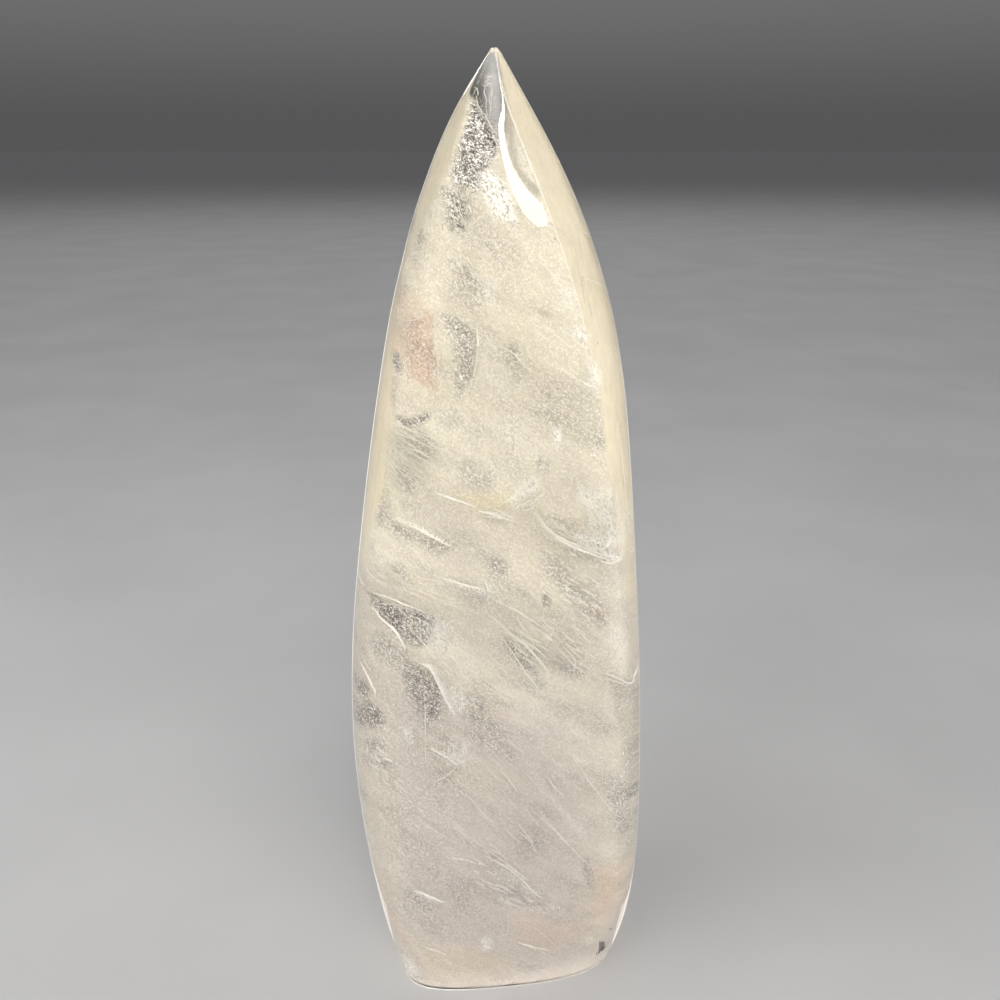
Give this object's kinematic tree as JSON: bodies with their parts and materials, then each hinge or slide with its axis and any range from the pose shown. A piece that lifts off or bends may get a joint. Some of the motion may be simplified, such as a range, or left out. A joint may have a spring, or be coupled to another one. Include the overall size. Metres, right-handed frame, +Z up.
{
  "type": "quartz point",
  "caption": "Tall flame-shaped clear quartz point, polished to a soft faceted freeform with a sharp tip and a flat cut base to stand on.",
  "frame": {"origin": "centre of the box's footprint, on the flat cut base the stone stands on", "axes": "+Z up along the stone to its tip, +X to the right and -Y towards the viewer of the broad front face; +Y is the stone's depth, its shortest side"},
  "size_m": [0.1096, 0.0807, 0.344],
  "materials": {
    "quartz": "hand-polished clear quartz with milky veils, healed fractures and a clear tip"
  },
  "bodies": {
    "root": {"quartz_point": "quartz"}
  },
  "joints": []
}
